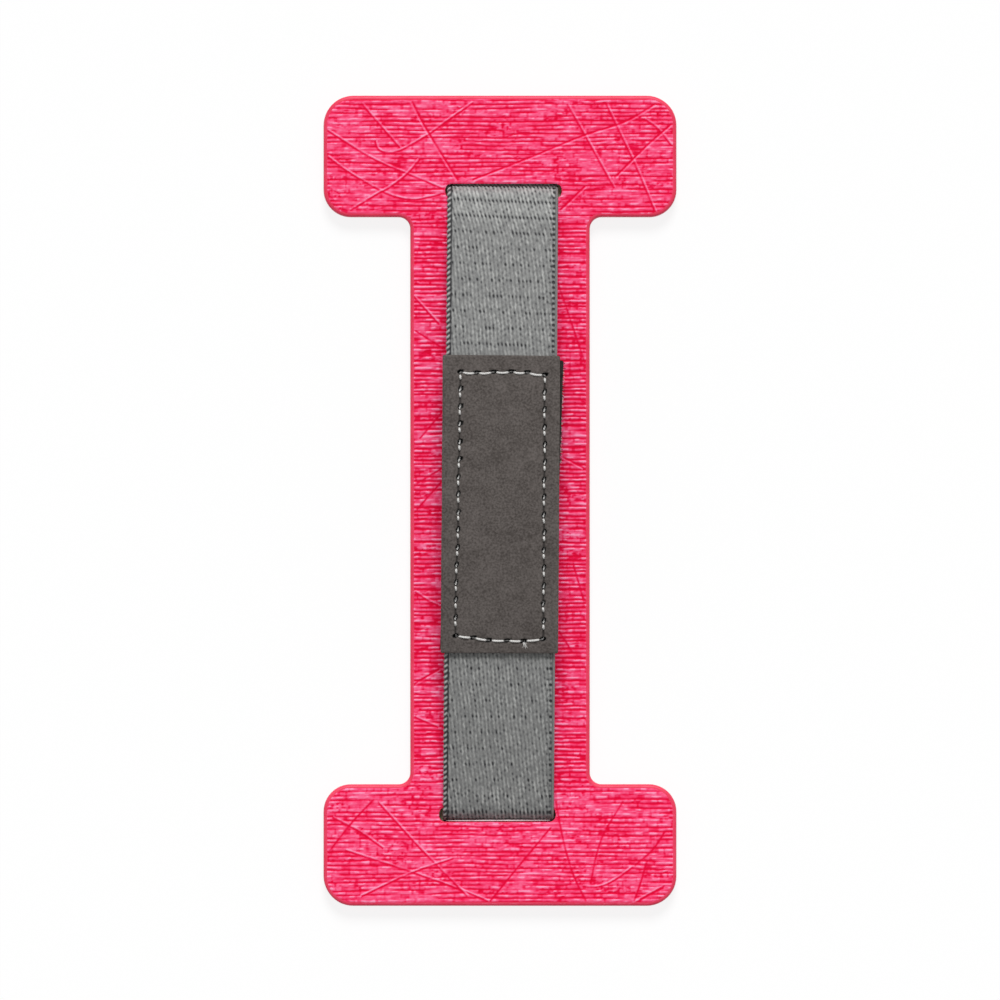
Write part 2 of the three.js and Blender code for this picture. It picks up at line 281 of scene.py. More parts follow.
def ring_solid(name, outer_rings, holes, material):
    """A closed solid from outer rings, low to high, and holes as lists of rings, high to low.
    A ring is a loop of points and a height."""
    points, quads, count = [], [], 0
    ends = []
    for rings in [outer_rings] + holes:
        size = len(rings[0][0])
        for loop, height in rings:
            points.append(np.column_stack([loop, np.full(size, height)]))
        faces, _, _ = grid_quads(len(rings), size, closed=True)
        quads.append(faces + count)
        ends.append((count, count + (len(rings) - 1) * size, size))
        count += len(rings) * size
    mesh = bpy.data.meshes.new(name)
    mesh.from_pydata((np.vstack(points) * MM).tolist(), [], np.vstack(quads).tolist())
    bm = bmesh.new()
    bm.from_mesh(mesh)
    bm.verts.ensure_lookup_table()
    tops = [ends[0][1]] + [first for first, _, _ in ends[1:]]
    bottoms = [ends[0][0]] + [last for _, last, _ in ends[1:]]
    for starts in (tops, bottoms):
        edges = []
        for start, (_, _, size) in zip(starts, ends):
            for step in range(size):
                pair = (bm.verts[start + step], bm.verts[start + (step + 1) % size])
                edges.append(bm.edges.get(pair) or bm.edges.new(pair))
        bmesh.ops.triangle_fill(bm, use_beauty=True, edges=edges)
    bmesh.ops.recalc_face_normals(bm, faces=bm.faces)
    bm.to_mesh(mesh)
    bm.free()
    return finish_piece(name, mesh, material)


def strands(name, lines, radius, material, thickness=None):
    """Round strands along lines of points in millimetres, as one mesh."""
    curve = bpy.data.curves.new(name, "CURVE")
    curve.dimensions = "3D"
    curve.bevel_depth = radius * MM
    curve.bevel_resolution = 1
    curve.use_fill_caps = True
    for index, line in enumerate(lines):
        spline = curve.splines.new("POLY")
        spline.points.add(len(line) - 1)
        places = np.column_stack([line * MM, np.ones(len(line))])
        spline.points.foreach_set("co", places.astype(np.float32).ravel())
        if thickness is not None:
            spline.points.foreach_set("radius", np.asarray(thickness[index], np.float32))
    holder = bpy.data.objects.new(name + "_curve", curve)
    bpy.context.scene.collection.objects.link(holder)
    ready = holder.evaluated_get(bpy.context.evaluated_depsgraph_get())
    mesh = bpy.data.meshes.new_from_object(ready)
    mesh.name = name
    bpy.data.objects.remove(holder)
    bpy.data.curves.remove(curve)
    mesh.materials.clear()
    return finish_piece(name, mesh, material, sharp=None)


# Materials
# Painted shade: the black of the seam's holes and deep grooves
PIT_SHADE_COLOR = (0.004, 0.0035, 0.0035, 1)


def add_node(tree, kind, inputs=(), **settings):
    """A shader node with its settings and inputs, each a value or the socket that feeds it."""
    node = tree.nodes.new("ShaderNode" + kind)
    for key, value in settings.items():
        setattr(node, key, value)
    for socket, value in dict(inputs).items():
        if isinstance(value, bpy.types.NodeSocket):
            tree.links.new(value, node.inputs[socket])
        else:
            node.inputs[socket].default_value = value
    return node


class Finish:
    """A material's nodes, added one by one in front of its Principled shader."""

    def __init__(self, name, **settings):
        self.material = bpy.data.materials.new(name)
        self.material.use_nodes = True
        self.tree = self.material.node_tree
        self.shader = self.tree.nodes["Principled BSDF"]
        for socket, value in settings.items():
            self.shader.inputs[socket.replace("_", " ")].default_value = value

    def add(self, kind, inputs=(), **settings):
        return add_node(self.tree, kind, inputs, **settings)

    def place(self):
        """Places in millimetres, as the pieces' own coordinates."""
        return self.add("VectorMath", {0: self.add("TexCoord").outputs["Object"], "Scale": 1 / MM},
                        operation="SCALE").outputs[0]

    def noise(self, size, detail=2.0, stretch=(1, 1, 1)):
        """Noise with features of about the given size in millimetres."""
        scaled = self.add("VectorMath", {0: self.place(), 1: stretch}, operation="MULTIPLY").outputs[0]
        return self.add("TexNoise", {"Vector": scaled, "Scale": 1 / size, "Detail": detail}).outputs["Fac"]

    def value(self, operation, first, second, third=0.0, clamp=False):
        inputs = {0: first, 1: second, 2: third}
        return self.add("Math", inputs, operation=operation, use_clamp=clamp).outputs[0]

    def ramp(self, factor, stops):
        """A colour ramp from pairs of a place and a linear colour."""
        node = self.add("ValToRGB", {"Fac": factor})
        ramp = node.color_ramp
        while len(ramp.elements) < len(stops):
            ramp.elements.new(1)
        for element, (place, color) in zip(ramp.elements, stops):
            element.position, element.color = place, (*color, 1)
        return node.outputs["Color"]

    def attribute(self, name):
        return self.add("Attribute", attribute_name=name).outputs["Fac"]

    def color(self, socket):
        self.tree.links.new(socket, self.shader.inputs["Base Color"])

    def color_by_relief(self, grain, strength, stops):
        """Colours by the relief that the mesh brings, with specks of the given strength."""
        speck = self.value("MULTIPLY_ADD", grain, strength, -strength / 2)
        shade = self.value("ADD", self.attribute("relief"), speck, clamp=True)
        self.color(self.ramp(shade, stops))

    def roughness(self, socket):
        self.tree.links.new(socket, self.shader.inputs["Roughness"])

    def bump(self, height, depth):
        """Bump of the given depth in millimetres, from a height from 0 to 1."""
        node = self.add("Bump", {"Height": height, "Strength": 1.0, "Distance": depth * MM})
        self.tree.links.new(node.outputs["Normal"], self.shader.inputs["Normal"])


def linear(red, green, blue):
    """A screen colour from 0 to 255 as linear light."""
    return tuple(
        part / 12.92 if part <= 0.04045 else ((part + 0.055) / 1.055) ** 2.4
        for part in (red / 255, green / 255, blue / 255)
    )


def grain_material():
    finish = Finish("embossed_pink", Specular_IOR_Level=0.22, Specular_Tint=(1, 0.2, 0.4, 1))
    # Two-tone finish, crimson in the grooves and pink on the ground; the palest stops are the painted
    # highlight that the crests reach
    finish.color_by_relief(finish.noise(0.22), 0.14, [
        (0.0, (0.72, 0.0015, 0.032)),
        (0.25, (0.81, 0.007, 0.066)),
        (0.55, (0.90, 0.062, 0.175)),
        (0.8, (0.94, 0.155, 0.310)),
        (1.0, (0.97, 0.330, 0.510)),
    ])
    finish.roughness(finish.value("MULTIPLY_ADD", finish.noise(0.4), 0.2, 0.35))
    finish.bump(finish.noise(0.16, detail=3.0), 0.01)
    return finish.material


def smooth_material(name, low, high, roughness, grain, depth):
    """A finish between two screen colours, with a little mottling and grain."""
    finish = Finish(name, Specular_IOR_Level=0.3)
    mottling = finish.noise(4.0, detail=3.0)
    finish.color(finish.ramp(mottling, [(0.3, linear(*low)), (0.7, linear(*high))]))
    finish.roughness(finish.value("MULTIPLY_ADD", finish.noise(grain * 3), 0.15, roughness - 0.07))
    finish.bump(finish.noise(grain, detail=3.0), depth)
    return finish.material


def webbing_material():
    finish = Finish(
        "grey_webbing", Specular_IOR_Level=0.35, Sheen_Weight=0.1, Sheen_Roughness=0.4, Roughness=0.6,
    )
    fibre = finish.noise(0.2, stretch=(2.2, 0.6, 1))
    # Colours by the relief: near black in the gaps, ties and holes is painted shade, and the palest stop on
    # the crests is painted highlight
    finish.color_by_relief(fibre, 0.4, [
        (0.0, (0.006, 0.006, 0.007)),
        (0.25, (0.06, 0.061, 0.062)),
        (0.6, (0.19, 0.192, 0.188)),
        (1.0, (0.42, 0.425, 0.41)),
    ])
    finish.bump(fibre, 0.03)
    return finish.material


def suede_material(name, low, high):
    """A napped sheet between two screen colours, painted black as shade where the seam presses it in deep,
    in its grooves and holes.
    """
    finish = Finish(name, Specular_IOR_Level=0.15, Sheen_Weight=0.08, Sheen_Roughness=0.5, Roughness=0.95)
    nap = finish.value("MULTIPLY", finish.noise(0.42, detail=3.0), 0.72)
    both = finish.value("MULTIPLY_ADD", finish.noise(3.5), 0.28, nap)
    color = finish.ramp(both, [(0.36, linear(*low)), (0.64, linear(*high))])
    # Painted shade: black by the seam's depth, standing in for the shade inside its grooves and holes
    dark = finish.add("MapRange", {"Value": finish.attribute("depth"), "From Min": 0.1, "From Max": 0.34})
    blend = finish.add("Mix", {0: dark.outputs["Result"], 6: color, 7: PIT_SHADE_COLOR}, data_type="RGBA")
    finish.color(blend.outputs[2])
    finish.bump(finish.noise(0.18, detail=4.0), 0.05)
    return finish.material


def thread_material():
    finish = Finish(
        "light_grey_thread", Specular_IOR_Level=0.4, Sheen_Weight=0.2, Sheen_Roughness=0.4, Roughness=0.5,
    )
    fibre = finish.noise(0.09)
    finish.color(finish.ramp(fibre, [(0.3, linear(156, 154, 151)), (0.7, linear(242, 241, 238))]))
    finish.bump(fibre, 0.02)
    return finish.material


# Panel
RIM_WIDTH = 0.62
RIM_DROP = 0.5
LIP_RADIUS = 0.22
PAINT_BULGE = 0.07
GRAIN_START = 0.55
GRAIN_FULL = 0.85
GRAIN_HEIGHT = 0.1
GRAIN_SINK = 0.03
RIDGE_PITCH = 0.86
GRAIN_STEP = (0.2, 0.13)
COARSE_GRAIN_STEP = 0.6
UNDER_STRAP = 9.4
WEB_END = (52, 58)
SLOT_FADE = (0.1, 0.4)
COVER_CHAMFER = 0.12

# Scratches of the embossing, in pixels of the photograph
SCRATCH_WIDTH = 0.17
SCRATCH_GAP = 0.36
SCRATCH_REACH = 0.8
RAISED_SCRATCHES = [
    [(328, 129), (345, 140), (364, 152), (385, 163), (407, 172), (443, 187)],
    [(328, 155), (348, 170), (377, 187), (395, 195), (415, 198), (440, 193)],
    [(362, 102), (380, 123), (401, 147)],
    [(376, 140), (379, 148), (388, 151), (402, 148), (428, 133), (446, 120), (473, 101)],
    [(568, 103), (584, 131), (615, 187)],
    [(607, 103), (620, 130), (638, 168), (657, 213)],
    [(644, 117), (658, 127), (672, 144)],
    [(350, 209), (376, 193), (389, 186), (406, 173), (419, 158)],
    [(346, 849), (380, 860), (410, 870), (455, 886), (489, 900)],
    [(379, 801), (420, 846), (468, 895)],
    [(333, 816), (358, 829), (384, 847)],
    [(453, 857), (410, 872), (361, 895)],
    [(632, 866), (615, 878), (600, 885), (583, 885)],
    [(663, 886), (645, 895), (632, 903)],
    [(415, 590), (430, 600), (439, 604)],
    [(415, 296), (440, 323)],
    [(416, 716), (439, 726)],
]
CUT_SCRATCHES = [
    [(656, 104), (625, 122), (583, 136), (532, 157), (473, 180)],
    [(672, 124), (645, 148), (616, 177)],
    [(411, 101), (425, 128), (457, 180)],
    [(415, 684), (440, 669)],
    [(562, 457), (583, 468)],
    [(561, 210), (586, 186)],
]
DARK_SCRATCHES = [
    [(373, 798), (352, 820), (329, 849)],
    [(550, 826), (520, 862), (489, 900)],
    [(557, 800), (562, 828), (567, 850), (575, 875), (587, 900)],
    [(622, 800), (603, 832), (595, 855), (590, 880)],
    [(664, 830), (652, 848), (634, 864)],
    [(645, 862), (640, 880), (633, 900)],
    [(664, 884), (648, 893), (634, 903)],
    [(416, 329), (441, 345)],
    [(559, 282), (586, 362)],
    [(416, 482), (441, 467)],
    [(416, 508), (441, 480)],
    [(419, 437), (441, 411)],
    [(560, 630), (574, 652)],
    [(574, 562), (585, 600)],
]

# Each kind's points, the side of its crest, and how far crest and groove replace the grain
SCRATCH_KINDS = (
    (RAISED_SCRATCHES, 1, 1.0, 0.9),
    (CUT_SCRATCHES, -1, 0.8, 1.0),
    (DARK_SCRATCHES, 1, 0.15, 0.9),
)


def grain_relief(x, y):
    """The embossing's height share at points of the panel, which also sets its colour: 0 in a groove, 1 on a
    crest.
    Thin crimson grooves run across the panel in long stretches, the finish's two tones; the short bright
    crests between them sit on each ridge's side towards the key light and are painted highlight. On the web
    the grooves are wider and nearly all there, and its colour is painted a little lighter against the
    strap's shade."""
    drift = 0.8 * value_noise(x, y, 34, 5, 11) + 0.45 * value_noise(x, y, 8, 1.6, 12)
    place = y / RIDGE_PITCH + drift
    row = np.floor(place)
    groove_row = np.floor(place + 0.5)
    near_flange = smoothstep(*WEB_END, -y)
    web = 1 - 0.6 * near_flange - smoothstep(*WEB_END, y)
    run = value_noise(x + 31 * groove_row, groove_row, 6, 1, 14)
    strength = smoothstep(0.3, 0.66, run + 0.2 * web)
    width = 0.14 + 0.06 * value_noise(x + 5 * groove_row, groove_row, 2.5, 1, 13) + 0.07 * web
    groove = strength * bell(place - groove_row, width)
    # Painted highlight: a crest on the side of each ridge that faces the key light, brightened by
    # painted_highlight
    crest = bell(place - row - 0.66, 0.17)
    painted_highlight = smoothstep(0.4, 0.8, value_noise(x + 11 * row, row, 1.1, 1, 19))
    fine = 1.1 * value_noise(x, y, 1.4, 0.26, 21) + 0.6 * value_noise(x, y, 0.45, 0.3, 20) - 0.85
    busy = smoothstep(0.5, 0.8, value_noise(x, y, 4, 1.5, 15))
    pit = smoothstep(0.6, 0.8, value_noise(x, y, 0.5, 0.32, 22))
    nick = smoothstep(0.26, 0.14, value_noise(x + 7 * row, row, 0.7, 1, 18))
    # The web's 0.06 lift is painted light against the strap's shade on it
    relief = 0.57 + 0.06 * web + 0.36 * fine + crest * (0.1 + (0.36 + 0.12 * web) * painted_highlight)
    relief = relief - (0.82 - 0.18 * near_flange) * groove
    relief = relief - 0.4 * pit * busy - (0.25 + 0.1 * busy) * nick
    return np.clip(relief, 0, 1.1)


def stamp_scratches(x, y, relief):
    """Works the scratches into the relief, as height and as colour. A raised one has its crest above its
    groove, a cut one has it below, and a dark one is hardly more than a groove. A bright crest is painted
    highlight, and the groove beside it painted shadow."""
    for seed, (scratches, side, crest_share, groove_share) in enumerate(SCRATCH_KINDS):
        for number, points in enumerate(scratches):
            line = smooth_line([from_photo(point) for point in points])
            for start, end in zip(line[:-1], line[1:]):
                if end[0] < start[0]:
                    start, end = end, start
                run, middle = end - start, (start + end) / 2
                length = np.linalg.norm(run)
                near = np.abs(x - middle[0]) < abs(run[0]) / 2 + SCRATCH_REACH
                near &= np.abs(y - middle[1]) < abs(run[1]) / 2 + SCRATCH_REACH
                if not near.any():
                    continue
                px, py = x[near] - start[0], y[near] - start[1]
                share = (px * run[0] + py * run[1]) / length**2
                on = (share > -0.02) & (share < 1.02)
                above = side * (py * run[0] - px * run[1]) / length
                worn = smoothstep(0.2, 0.6, value_noise(x[near], y[near], 1.4, 1.0, 23 + seed + number))
                worn = on * (0.65 + 0.35 * worn)
                crest_highlight = crest_share * (0.55 + 0.4 * value_noise(x[near], y[near], 2.2, 2.2, 47))
                crest = bell(above - SCRATCH_GAP / 3, SCRATCH_WIDTH) * worn
                groove = bell(above + SCRATCH_GAP * 2 / 3, SCRATCH_WIDTH) * worn
                # Painted highlight on the crest and painted shadow in the groove beside it, besides their
                # height
                value = mix(relief[near], 1.15, crest_highlight * crest)
                relief[near] = mix(value, -0.05, groove_share * groove)


def grain_piece(name, material, x_stretches, y_range):
    """One stretch of the embossed skin on the cover, which dives under the cover at rim and slots.
    Each stretch of x is given as its start, its end and its step."""
    places = [
        np.linspace(start, end, max(2, round((end - start) / step) + 1)) for start, end, step in x_stretches
    ]
    x_places = np.unique(np.concatenate(places))
    rows = int(round((y_range[1] - y_range[0]) / GRAIN_STEP[1])) + 1
    x, y = np.meshgrid(x_places, np.linspace(*y_range, rows))
    margin = margin_inside(x, y, panel_loop(0, 8))
    fade = smoothstep(GRAIN_START, GRAIN_FULL, margin)
    for end in (1, -1):
        slot_margin = -margin_inside(x, y, slot_loop(end, 0, 6))
        fade = np.minimum(fade, smoothstep(*SLOT_FADE, slot_margin))
        margin = np.minimum(margin, slot_margin + GRAIN_START - 0.15)
    relief = grain_relief(x, y)
    stamp_scratches(x, y, relief)
    height = PANEL_TOP + fade * (GRAIN_HEIGHT * relief + 0.01) - (1 - fade) * GRAIN_SINK
    faces, _, _ = grid_quads(rows, x_places.size)
    keep = (margin.ravel()[faces] > GRAIN_START - 0.2).all(axis=1)
    faces = faces[keep]
    used, faces = np.unique(faces, return_inverse=True)
    faces = faces.reshape(-1, 4)
    points = np.column_stack([x.ravel(), y.ravel(), height.ravel()])[used]
    span = max(x_places[-1] - x_places[0], y_range[1] - y_range[0])
    uv = (points[:, :2] - (x_places[0], y_range[0])) / span
    values = {"relief": relief.ravel()[used]}
    piece = mesh_piece(name, points, faces, material, uv[faces], values, sharp=None)


def cover_body(material):
    """The cover under its embossed skin: a smooth round rim, a flat top and the slots' lips."""
    outer = [(panel_loop(COVER_CHAMFER), COVER_BOTTOM), (panel_loop(0), COVER_BOTTOM + COVER_CHAMFER)]
    for turn in np.linspace(0, math.pi / 2, 7):
        inset = RIM_WIDTH * (1 - math.cos(turn))
        outer.append((panel_loop(inset), PANEL_TOP - RIM_DROP * (1 - math.sin(turn))))
    outer.append((panel_loop(RIM_WIDTH + 0.1), PANEL_TOP))
    holes = []
    for end in (1, -1):
        rings = [(slot_loop(end, LIP_RADIUS + 0.1), PANEL_TOP)]
        for turn in np.linspace(0, math.pi / 2, 5):
            rings.append((slot_loop(end, LIP_RADIUS * (1 - math.sin(turn))),
                          PANEL_TOP - LIP_RADIUS * (1 - math.cos(turn))))
        rings.append((slot_loop(end, 0), COVER_BOTTOM))
        holes.append(rings)
    piece = ring_solid("cover_body", outer, holes, material)
    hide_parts("front_cover")


def edge_paint(material):
    """The painted edge of the layers below the cover: a low round band, a little uneven."""
    heights = np.linspace(SHEET_BOTTOM + 0.02, COVER_BOTTOM + 0.1, 9)
    rings = [(panel_loop(0.5), heights[0])]
    for height in heights:
        share = (height - heights[0]) / (heights[-1] - heights[0])
        bulge = PAINT_BULGE * math.sin(math.pi * share) ** 0.5
        loop = panel_loop(-bulge)
        run = np.arange(len(loop)) * 0.9
        uneven = (value_noise(run, np.full(len(loop), height), 2.0, 0.8, 21) - 0.5) * 0.02
        rings.append((loop * (1 + uneven[:, None] / 40), height))
    rings.append((panel_loop(0.5), heights[-1]))
    points = np.vstack([np.column_stack([loop, np.full(len(loop), height)]) for loop, height in rings])
    size = len(rings[0][0])
    faces, _, _ = grid_quads(len(rings), size, closed=True)
    last = (len(rings) - 1) * size
    step = np.arange(size)
    inner = np.stack([last + step, last + (step + 1) % size, (step + 1) % size, step], axis=1)
    piece = mesh_piece("edge_paint", points, np.vstack([faces, inner]), material)


# Strap

def bow_at(along):
    return LIP_HEIGHT + BOW_HEIGHT * (1 - (along / BOW_REACH) ** 2)


def on_strap(across, along, offset):
    """Places on the bow, at an offset from the band's middle, turned to the strap's lean."""
    across, along, offset = np.broadcast_arrays(*map(np.asarray, (across, along, offset)))
    height = bow_at(along) + offset * np.hypot(1, 2 * BOW_HEIGHT * along / BOW_REACH**2)
    return leaned(across, along, height)


def leaned(across, along, height):
    x, y = turned(across, along, STRAP_LEAN)
    return np.stack([STRAP_CENTRE[0] + x, STRAP_CENTRE[1] + y, height], axis=-1)


def band_line():
    """The band's middle line from the side, near end to far end: along, height and direction."""
    climb_start = -BOW_REACH - CLIMB_RUN
    tail = np.linspace(-SLOT_DISTANCE - SLOT_DEPTH / 2 - BAND_TAIL, climb_start, 20)[:-1]
    up = np.linspace(0, CLIMB_ANGLE, 16)
    over = np.linspace(CLIMB_ANGLE, LEAVE_ANGLE, 30)
    bow = np.linspace(-BOW_REACH, 0, 200)[1:]
    along = np.concatenate([
        tail, climb_start + POCKET_BEND * np.sin(up),
        -BOW_REACH + LIP_BEND * (math.sin(LEAVE_ANGLE) - np.sin(over)), bow,
    ])
    height = np.concatenate([
        np.full(tail.size, POCKET_HEIGHT), POCKET_HEIGHT + POCKET_BEND * (1 - np.cos(up)),
        LIP_HEIGHT - LIP_BEND * (math.cos(LEAVE_ANGLE) - np.cos(over)), bow_at(bow),
    ])
    turn = np.concatenate([0 * tail, up, over, np.arctan(-2 * BOW_HEIGHT * bow / BOW_REACH**2)])
    near = np.column_stack([along, height, turn])
    return np.vstack([near, near[-2::-1] * (-1, 1, -1)])


# Weave
YARN_PITCH = 0.76
FIRST_TIE = 60.7
TIE_TILT = 0.035
TIE_PITCH = 3.234
WEAVE_HEIGHT = 0.1
SCALLOP = 0.14
LOOP_PITCH = TIE_PITCH / 3
FINE_STEP = 0.17
COARSE_STEP = 0.9
TIE_SIZE = (0.17, 0.27)
HOLE_HALF = 0.25
AT_SLOT = (55, 59)
FACE_COLUMNS = 150
BACK_COLUMNS = 24
EDGE_COLUMNS = 3
EDGE_BULGE = 0.05
FACE_TRIM = 0.06


def beads(from_left, distance):
    """The loops of the left selvage, which lean up to the right: 1 on a loop and 0 between two."""
    phase = ((distance - 0.6 * from_left) / LOOP_PITCH) % 1
    return smoothstep(0.16, 0.34, 0.5 - np.abs(phase - 0.5))


def weave_relief(across, distance, seed):
    """The webbing's height share, which also sets its colour: leaning columns of short floats with dark
    flecks between them, tied down in rows of dark dots, a beaded selvage on the left and one with square
    holes on the right. The dark of the gaps, ties and holes is painted shade, and the floats' crests are
    painted highlight."""
    wander = 0.3 * value_noise(across, distance, 5, 4, seed)
    lean = 0.11 * distance + 0.16 * np.maximum(distance - 53, 0)
    place = (across + lean) / YARN_PITCH + wander
    gap_number = np.floor(place + 0.5)
    off_gap = (place - gap_number) * YARN_PITCH
    gap = bell(off_gap, 0.15)
    crest = bell(np.abs(off_gap) - YARN_PITCH / 2, 0.2)
    step = distance / LOOP_PITCH + 0.5 * (gap_number % 2)
    step = step + 0.4 * value_noise(gap_number, 0 * place, 1, 1, seed + 1)
    stitch = np.floor(step)
    lens = np.sin(np.pi * (step - stitch)) ** 3
    rounding = 0.35 + 0.9 * np.cos(np.pi * (step - stitch)) ** 2
    fleck = value_noise(gap_number, stitch, 1, 1, seed + 2) ** 1.5
    # Painted highlight on the floats' crests
    painted_highlight = value_noise(np.floor(place), np.floor(step + 0.5), 1, 1, seed + 5) ** 2
    slot_side = smoothstep(*AT_SLOT, np.abs(distance))
    relief = 0.62 - gap * (0.12 + (0.42 + 0.2 * slot_side) * fleck * lens)
    relief = relief + (0.28 + 0.1 * slot_side) * crest * painted_highlight * rounding
    # Painted highlight: the far end, where the band bends into its slot facing the key light, is lifted
    relief = relief + 0.09 * smoothstep(*AT_SLOT, distance)
    relief = relief + 0.22 * (value_noise(across, distance, 0.3, 0.45, seed + 4) - 0.5)

    tilt = TIE_TILT * smoothstep(-20, 20, distance)
    tie = (distance + tilt * across - FIRST_TIE) / TIE_PITCH
    tie_row = np.round(tie)
    off_row = (tie - tie_row) * TIE_PITCH
    chance = value_noise(gap_number, tie_row, 1, 1, seed + 3)
    often = 0.18 + 0.3 * smoothstep(0, 40, distance) + 0.5 * smoothstep(53, 57, distance)
    often = often + 0.6 * smoothstep(-60, -62, distance)
    tied = smoothstep(1.02 - often, 1.22 - often, chance + 0.12)
    relief = relief - 0.8 * tied * bell(off_row, TIE_SIZE[1]) * bell(off_gap, TIE_SIZE[0])
    # Painted shade: the near end, where the band dips into its slot away from the key light, is darkened
    relief = relief - 0.05 * smoothstep(-60.3, -61, distance)

    from_left, from_right = across + BAND_WIDTH / 2, BAND_WIDTH / 2 - across
    loops = beads(from_left, distance)
    left = smoothstep(0.86, 0.78, from_left)
    relief = mix(relief, 0.02 + 0.98 * loops * (1 - 0.35 * np.abs(from_left - 0.4) / 0.4), left)
    cut = smoothstep(0.5, 0.3, np.abs((tie % 1) - 0.62))
    relief = relief - (0.35 + 0.6 * cut) * bell(from_left - 0.92, 0.12)

    hole_row = np.round(3 * tie)
    off_hole = (3 * tie - hole_row) * LOOP_PITCH
    strong = np.where(hole_row % 3 == 0, 1.0, 0.25 + 0.55 * smoothstep(0, 30, distance))
    hole = np.exp(-((off_hole / HOLE_HALF) ** 4) - ((from_right - 0.82) / HOLE_HALF) ** 4)
    inner = bell(off_hole, 0.2) * bell(from_right - 1.5, 0.17) * (hole_row % 2)
    cord = smoothstep(0.62, 0.54, from_right)
    relief = mix(relief, 0.55 - 0.25 * bell(from_right - 0.48, 0.07), cord)
    return np.clip(relief - 1.2 * strong * hole - 0.5 * inner, -0.3, 1.1)


def elastic_webbing(material):
    line = band_line()
    travelled = np.concatenate([[0], np.cumsum(np.hypot(*np.diff(line[:, :2], axis=0).T))])
    length = travelled[-1]
    hidden_far = PATCH_LENGTH / 2 + PATCH_SHIFT - 1
    hidden_near = PATCH_LENGTH / 2 - PATCH_SHIFT - 1
    shown = np.interp(SLOT_DISTANCE + SLOT_DEPTH / 2, line[:, 0], travelled) - length / 2 + 0.3
    distance = np.concatenate([
        -np.arange(length / 2, shown, -COARSE_STEP), -np.arange(shown, hidden_near, -FINE_STEP),
        np.arange(-hidden_near, hidden_far, COARSE_STEP), np.arange(hidden_far, shown, FINE_STEP),
        np.arange(shown, length / 2, COARSE_STEP), [length / 2],
    ])
    along, height, turn = (np.interp(distance + length / 2, travelled, values) for values in line.T)
    face = np.linspace(-0.5, 0.5, FACE_COLUMNS) * (BAND_WIDTH - FACE_TRIM)
    back = np.linspace(0.5, -0.5, BACK_COLUMNS) * (BAND_WIDTH - FACE_TRIM)
    edge_turn = np.linspace(0, math.pi, EDGE_COLUMNS + 2)[1:-1]
    half = BAND_THICKNESS / 2
    around = np.concatenate([
        face, BAND_WIDTH / 2 - EDGE_BULGE + EDGE_BULGE * np.sin(edge_turn),
        back, -BAND_WIDTH / 2 + EDGE_BULGE - EDGE_BULGE * np.sin(edge_turn),
    ])
    depth = np.concatenate([
        np.full(face.size, 1.0), np.cos(edge_turn) * 0.8, np.full(back.size, -1.0), -np.cos(edge_turn) * 0.8,
    ])
    from_edge = BAND_WIDTH / 2 - np.abs(around)
    round_off = 0.24 * (1 - smoothstep(0.0, 0.35, from_edge))
    across, distance_grid = np.meshgrid(around, distance)
    depth_grid, round_grid = np.broadcast_arrays(depth, round_off + 0 * across)
    relief = np.where(
        depth_grid > 0, weave_relief(across, distance_grid, 31), weave_relief(-across, distance_grid, 41)
    )
    lift = half - WEAVE_HEIGHT * (1 - relief) - round_grid
    level = np.abs(depth_grid)
    offset = np.sign(depth_grid) * np.where(level == 1, lift, level * (half - round_grid))
    from_left = across + BAND_WIDTH / 2
    scallop = SCALLOP * (1 - beads(from_left, distance_grid)) * smoothstep(0.5, 0.0, from_left)
    place = leaned(
        across + scallop,
        along[:, None] - offset * np.sin(turn)[:, None],
        height[:, None] + offset * np.cos(turn)[:, None],
    )
    columns = around.size
    faces, row, column = grid_quads(distance.size, columns, closed=True)
    uv = np.stack([column / columns * 2 * BAND_WIDTH / length, distance[row] / length + 0.5], axis=-1)
    points = place.reshape(-1, 3)
    values = {"relief": relief.ravel()}
    piece = mesh_piece("elastic_webbing", points, faces[:, ::-1], material, uv[:, ::-1], values, sharp=None)
    close_ends(piece, columns, distance.size)
    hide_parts("elastic_band")


def close_ends(piece, columns, rows):
    """Closes the two cut ends of a tube-like grid."""
    bm = bmesh.new()
    bm.from_mesh(piece.data)
    bm.verts.ensure_lookup_table()
    bm.faces.new([bm.verts[index] for index in range(columns)])
    bm.faces.new([bm.verts[index] for index in reversed(range((rows - 1) * columns, rows * columns))])
    bm.to_mesh(piece.data)
    bm.free()


# Patch
SEAM_GROOVE = 0.22
GROOVE_REACH = 3.2
HOLE_DEPTH = 0.9
HOLE_REACH = 1.5
HOLE_SIZE = (0.66, 0.42)
SIDE_HOLE_SHIFT = (0.04, 0.12)
SIDE_HOLE_TILT = math.radians(72)
END_HOLE_TILT = math.radians(14)


def from_photo_on_strap(point):
    """A pixel of the photograph as a place on the patch: across and along the strap."""
    nearer = 1 - (bow_at(0) - PANEL_TOP) / CAMERA_DISTANCE
    x, y = (part * nearer for part in from_photo(point))
    return turned(x - STRAP_CENTRE[0], y + CAMERA_SHIFT - STRAP_CENTRE[1], -STRAP_LEAN)


def seam_holes():
    """The seam's needle holes, once round from the near left corner."""
    near = np.array([from_photo_on_strap(point) for point in NEAR_ROW])
    far = np.array([from_photo_on_strap(point) for point in FAR_ROW])
    count = round((PATCH_LENGTH - 2 * SEAM_END_INSET) / STITCH_LENGTH)
    right = np.linspace(near[-1], far[-1], count + 1)
    left = np.linspace(far[0], near[0], count + 1)
    random = np.random.default_rng(51)
    for side in (right, left):
        side[1:-1] += random.uniform(-0.1, 0.1, (count - 1, 2))
    return np.vstack([near[:-1], right[:-1], far[:0:-1], left[:-1]])


def along_side(start, end):
    """Whether a stitch runs along the patch and not across it."""
    return abs(end[1] - start[1]) > abs(end[0] - start[0])


